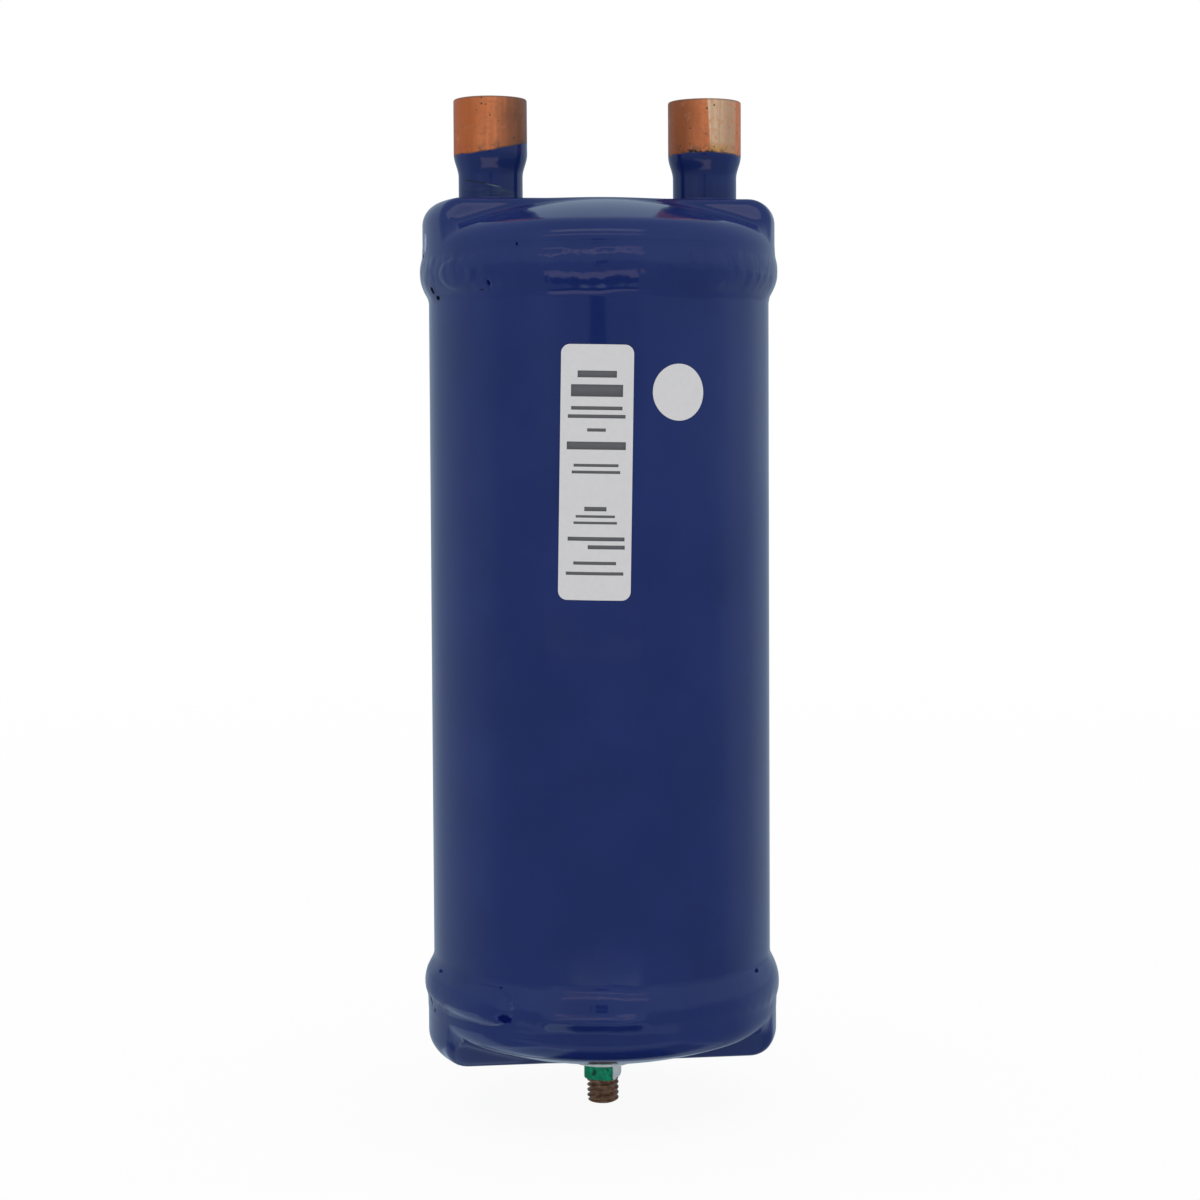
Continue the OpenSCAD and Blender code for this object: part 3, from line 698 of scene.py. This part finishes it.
# The mounting stud: rolled thread, square neck with eased edges, round head.
def stud_mesh():
    cols, power = 192, 22
    thread_depth, end_round, head_round, neck_corner = 0.92, 1.05, 0.4, 5.38
    angle = turn_angles(cols)
    rings = []
    for z in np.linspace(THREAD_END, -0.02, 88):
        phase = (z / PITCH - angle / (2 * math.pi) + 0.35) % 1
        groove = np.clip((np.abs(2 * phase - 1) - 0.16) / 0.66, 0, 1)
        groove = groove * groove * (3 - 2 * groove) * 0.35 + groove * 0.65
        fade = 1 - smooth(np.array(z), -0.7, -0.1) * 0.8
        r = THREAD_R - thread_depth * groove * fade
        lift = max(0.0, min(1.0, 1 - (z - THREAD_END) / 0.95))
        end = THREAD_R - end_round + end_round * math.sin(math.acos(lift))
        rings.append((np.minimum(r, end), z))
    turned = angle - NECK_TURN
    square = np.abs(np.cos(turned)) ** power + np.abs(np.sin(turned)) ** power
    square = NECK_HALF / square ** (1 / power)
    for drop, z in ((0.35, 0.0), (0.1, 0.08), (0.0, 0.3)):
        rings.append((np.minimum(square, neck_corner + z) - drop, z))
    for z in np.linspace(0.45, NECK_TOP_Z - 0.02, 24):
        rings.append((np.minimum(square, neck_corner + z), z))
    rings.append((square + 0.25, NECK_TOP_Z))
    for t in np.linspace(0, math.pi / 2, 6):
        r = HEAD_R - head_round + head_round * math.sin(t) + 0 * angle
        rings.append((r, NECK_TOP_Z + head_round - head_round * math.cos(t)))
    rings.append((HEAD_R + 0 * angle, HEAD_TOP))
    verts = [np.stack([r * np.cos(angle), r * np.sin(angle), z + 0 * angle], -1) for r, z in rings]
    verts = np.concatenate(verts + [np.array([[0, 0, THREAD_END], [0, 0, HEAD_TOP]])])
    last, tip = (len(rings) - 1) * cols, len(rings) * cols
    return verts, grid_quads(len(rings), cols) + fan(tip, 0, cols) + fan(tip + 1, last, cols)


verts, faces = stud_mesh()
build("mounting_stud_form", verts, faces, "mounting_stud", STUD, sharp=38)


# Grey bars stand in for the label's print: a sheet of ink on the label, with no lettering.
def print_mesh(bars):
    verts, faces = [], []
    steps, ink = 13, 0.012
    for across, up, width, height in bars:
        first = len(verts)
        for r in (LABEL_R, LABEL_R + ink):
            for v in (up - height / 2, up + height / 2):
                for u in np.linspace(across - width / 2, across + width / 2, steps):
                    right = u * math.cos(LABEL_LEAN) + v * math.sin(LABEL_LEAN)
                    a = LABEL_AZ + right / LABEL_R
                    z = LABEL_Z + v * math.cos(LABEL_LEAN) - u * math.sin(LABEL_LEAN)
                    verts.append((r * math.sin(a), -r * math.cos(a), z))
        for i in range(steps - 1):
            a, b, c, d = (first + k * steps + i for k in range(4))
            faces += [[a, a + 1, b + 1, b], [c, d, d + 1, c + 1],
                      [a, c, c + 1, a + 1], [b, b + 1, d + 1, d]]
        for i in (0, steps - 1):
            a, b, c, d = (first + k * steps + i for k in range(4))
            faces.append([a, b, d, c])
    return np.array(verts), faces


# Each bar's middle across and up from the label's middle, its width and its height.
BARS = [
    (0, 27.5, 11.0, 1.9), (0, 22.9, 14.6, 3.4), (0, 18.0, 14.4, 1.0), (0, 15.7, 16.2, 1.0),
    (0, 11.9, 5.2, 0.9), (0, 7.5, 16.6, 2.2), (0, 2.0, 12.6, 0.8), (0, 0.1, 13.6, 0.8),
    (0, -10.2, 6.2, 1.2), (0, -12.3, 11.0, 0.7), (0, -14.1, 12.2, 0.7), (0.3, -18.6, 16.0, 1.1),
    (3.2, -20.9, 10.4, 1.1), (0, -25.4, 12.0, 0.9), (0, -28.3, 16.2, 0.9),
]
verts, faces = print_mesh(BARS)
build("label_print", verts, faces, None, INK)

# Solids that keep their own mesh.
KEPT = {
    "inlet_braze": PAINT, "outlet_braze": PAINT, "stud_weld": BARE,
    "product_label": PAPER, "round_sticker": PAPER,
    "inlet_deflector": INNER_STEEL, "u_tube": INNER_STEEL, "leg_brace": INNER_STEEL,
    "u_tube_braze": INNER_BRASS, "oil_pickup": INNER_BRASS, "oil_screen": INNER_BRASS,
}
for node, material in KEPT.items():
    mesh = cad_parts[node].data
    mesh.materials.clear()
    mesh.materials.append(material)

# The stage, in metres: a pale floor at the stud's end, a white surround, a lamp and cards.
ROOM_TINT, LAMP_TINT = (0.78, 0.98, 1.2), (1.0, 0.9, 0.95)


def floor():
    mesh = bpy.data.meshes.new("floor")
    reach, level = 6.0, THREAD_END * MM - 0.00002
    corners = [(-reach, -reach, level), (reach, -reach, level),
               (reach, reach, level), (-reach, reach, level)]
    mesh.from_pydata(corners, [], [(0, 1, 2, 3)])
    look = Look("floor_white")
    look.tree.nodes.remove(look.shader)
    matt = look.add("ShaderNodeBsdfDiffuse")
    look.put(matt.inputs["Color"], (0.9, 0.9, 0.9))
    glow = look.add("ShaderNodeEmission")
    path = look.add("ShaderNodeLightPath").outputs
    seen = look.math("MAXIMUM", path["Is Camera Ray"], path["Is Transmission Ray"])
    shiny = path["Is Glossy Ray"]
    x, y, _ = look.axes()
    far = look.length(look.place)
    # For gloss the floor is that of a room: as pale as its walls behind and beside the part, darker
    # in front.
    tone = look.ramp(look.math("DIVIDE", y, far), -0.35, 0.15, 0.29, 0.42)
    out = look.plus(look.times(x, math.sin(SIDE_AZ)), look.times(y, -math.cos(SIDE_AZ)))
    side = look.math("ABSOLUTE", x)
    # A painted shadow below the front of the part, and painted pools of light under the bar's ends,
    # left of it and in two strips, for the part to reflect.
    shade = look.between(out, (0.030, 0.038), (0.070, 0.062))
    shade = look.times(shade, look.ramp(side, 0.050, 0.040))
    tone = look.times(tone, look.minus(1.0, look.times(shade, 0.94)))
    ends = look.between(side, (0.022, 0.028), (0.056, 0.050))
    left_end = look.times(ends, look.math("LESS_THAN", x, 0.0))
    left = look.between(x, (-0.048, -0.056), (-0.125, -0.105))
    wide = look.ramp(look.math("ABSOLUTE", look.plus(x, 0.02)), 0.10, 0.06)
    for share, near, away, gain in (
        (ends, 0.018, 0.078, 0.15), (left_end, 0.018, 0.078, 0.47), (left, -0.02, 0.045, 0.4),
        (wide, 0.072, 0.104, 0.22), (wide, 0.187, 0.25, 0.6),
    ):
        band = look.between(out, (near, near + 0.005), (away, away - 0.006))
        tone = look.plus(tone, look.times(share, band, gain))
    white = look.ramp(far, 0.4, 1.6, 0.93, 1.0)
    look.put(glow.inputs["Strength"], look.plus(seen, look.times(shiny, tone)))
    look.put(glow.inputs["Color"], look.mix(shiny, (1.0, 1.0, 1.0), ROOM_TINT))
    blend = look.add("ShaderNodeMixShader")
    look.put(blend.inputs[0], look.math("MAXIMUM", look.times(seen, white), shiny))
    look.put(blend.inputs[1], matt.outputs[0])
    look.put(blend.inputs[2], glow.outputs[0])
    look.put(look.surface, blend.outputs[0])
    mesh.materials.append(look.mat)
    obj = bpy.data.objects.new("floor", mesh)
    bpy.context.scene.collection.objects.link(obj)


def surround():
    world = bpy.data.worlds.new("surround")
    bpy.context.scene.world = world
    world.use_nodes = True
    sky = Nodes(world.node_tree)
    path = sky.add("ShaderNodeLightPath").outputs
    shiny = path["Is Glossy Ray"]
    x, y, z = sky.split(sky.add("ShaderNodeTexCoord").outputs["Generated"])
    # Shiny surfaces see a cool grey room, paler behind and beside the part than in front of it.
    room = sky.ramp(y, -0.35, 0.15, 0.30, 0.43)
    front = sky.ramp(y, -0.5, -0.2, 1.0, 0.0)
    for middle, width, gain in ((-0.67, 0.25, 0.08), (0.45, 0.2, 0.05)):
        off = sky.math("ABSOLUTE", sky.minus(x, middle))
        room = sky.plus(room, sky.times(sky.ramp(off, 0.0, width, gain, 0.0), front))
    high = sky.times(sky.ramp(z, 0.06, 0.15, 0.0, 0.15), sky.ramp(y, -0.35, 0.15, 1.0, 0.0))
    room = sky.plus(room, sky.ramp(x, 0.35, 0.85, 0.0, 0.09), high)
    clear = sky.math("MAXIMUM", path["Is Camera Ray"], path["Is Transmission Ray"])
    other = sky.minus(1.0, sky.math("MAXIMUM", clear, shiny))
    background = world.node_tree.nodes["Background"]
    strength = sky.plus(clear, sky.times(room, shiny), sky.times(other, 0.96))
    sky.put(background.inputs["Strength"], strength)
    sky.put(background.inputs["Color"], sky.mix(shiny, (1.0, 1.0, 1.0), ROOM_TINT))


def key_lamp():
    place, aim = (-0.18, -1.25, 1.58), (0, 0, 0.2)
    data = bpy.data.lights.new("key", "AREA")
    data.shape, data.size, data.size_y = "RECTANGLE", 1.7, 0.34
    data.energy, data.color = 1.5, LAMP_TINT
    obj = bpy.data.objects.new("key", data)
    obj.location = place
    obj.rotation_euler = (Vector(aim) - Vector(place)).to_track_quat("-Z", "Y").to_euler()
    bpy.context.scene.collection.objects.link(obj)


floor()
surround()
key_lamp()


def card(name, low_colour, high_colour, corners, glow=0.0):
    """A card that only gloss sees, and only from the side where its corners run anticlockwise."""
    mesh = bpy.data.meshes.new(name)
    mesh.from_pydata(corners, [], [(0, 1, 2, 3)])
    look = Look(name)
    look.set(Base_Color=look.mix(look.noise(40), low_colour, high_colour), Roughness=0.9)
    look.set(Emission_Color=(1.0, 0.88, 0.94), Emission_Strength=glow)
    blend = look.add("ShaderNodeMixShader")
    look.put(blend.inputs[0], look.add("ShaderNodeNewGeometry").outputs["Backfacing"])
    look.put(blend.inputs[1], look.shader.outputs[0])
    look.put(blend.inputs[2], look.add("ShaderNodeBsdfTransparent").outputs[0])
    look.put(look.surface, blend.outputs[0])
    mesh.materials.append(look.mat)
    obj = bpy.data.objects.new(name, mesh)
    bpy.context.scene.collection.objects.link(obj)
    obj.visible_camera = obj.visible_diffuse = obj.visible_shadow = obj.visible_transmission = False


OUT = Vector((math.sin(SIDE_AZ), -math.cos(SIDE_AZ), 0))
RIGHT = Vector((math.cos(SIDE_AZ), math.sin(SIDE_AZ), 0))
UP = Vector((0, 0, 1))
CARD_OUT = 0.72


def upright(corners):
    """Corners, given to the right and up, of a card that stands where the camera is."""
    return [OUT * CARD_OUT + RIGHT * w + UP * h for w, h in corners]


def tray(level, reach):
    """Corners of a sheet along the shell's reflections at a level: only the welds show it."""
    corners = []
    for out, left, right in reach:
        t = (out - SHELL_R * MM) / (EYE_OUT - SHELL_R * MM)
        height = level * (1 + t) - EYE_UP * t
        corners.append([OUT * out + RIGHT * w + UP * height for w in (left, right)])
    return corners[1] + corners[0][::-1]


# A dark card over the camera leaves the streak above the label, and a pale strip lights both welds.
card("dark_card", (0.01, 0.01, 0.012), (0.02, 0.02, 0.022),
     upright(((-0.05, 0.34), (0.05, 0.34), (0.07, 0.235), (-0.07, 0.235))))
card("pale_strip", (0.72, 0.64, 0.69), (0.76, 0.68, 0.73),
     upright(((-0.52, 0.632), (0.40, 0.632), (0.40, 0.560), (-0.52, 0.560))), 0.5)
# Sheets that draw the dark and pale lines along the welds.
card("dark_tray", (0.004, 0.004, 0.005), (0.008, 0.008, 0.010),
     tray(0.130, ((0.140, -0.10, 0.068), (0.215, -0.14, 0.09))))
card("pale_tray", (0.90, 0.80, 0.85), (0.94, 0.84, 0.89),
     tray(0.130, ((0.235, -0.15, 0.10), (0.46, -0.31, 0.21))))
card("low_tray", (0.90, 0.80, 0.85), (0.94, 0.84, 0.89),
     tray(0.0516, ((0.225, -0.14, 0.095), (0.315, -0.19, 0.135)))[::-1], 0.25)


# The camera, where the photograph was taken from.
def camera(pitch, roll, lens, shift_y):
    data = bpy.data.cameras.new("camera")
    data.lens, data.sensor_width, data.shift_y = lens, 36, shift_y
    data.clip_start, data.clip_end = 0.01, 60
    obj = bpy.data.objects.new("camera", data)
    obj.matrix_world = (
        Matrix.Translation((math.sin(SIDE_AZ) * EYE_OUT, -math.cos(SIDE_AZ) * EYE_OUT, EYE_UP))
        @ Matrix.Rotation(SIDE_AZ, 4, "Z")
        @ Matrix.Rotation(math.radians(90 - pitch), 4, "X")
        @ Matrix.Rotation(math.radians(roll), 4, "Z")
    )
    bpy.context.scene.collection.objects.link(obj)
    bpy.context.scene.camera = obj


camera(pitch=2.5, roll=-0.30, lens=71.46, shift_y=-0.0586)
bpy.context.scene.view_settings.view_transform = "Standard"

bpy.context.view_layer.update()
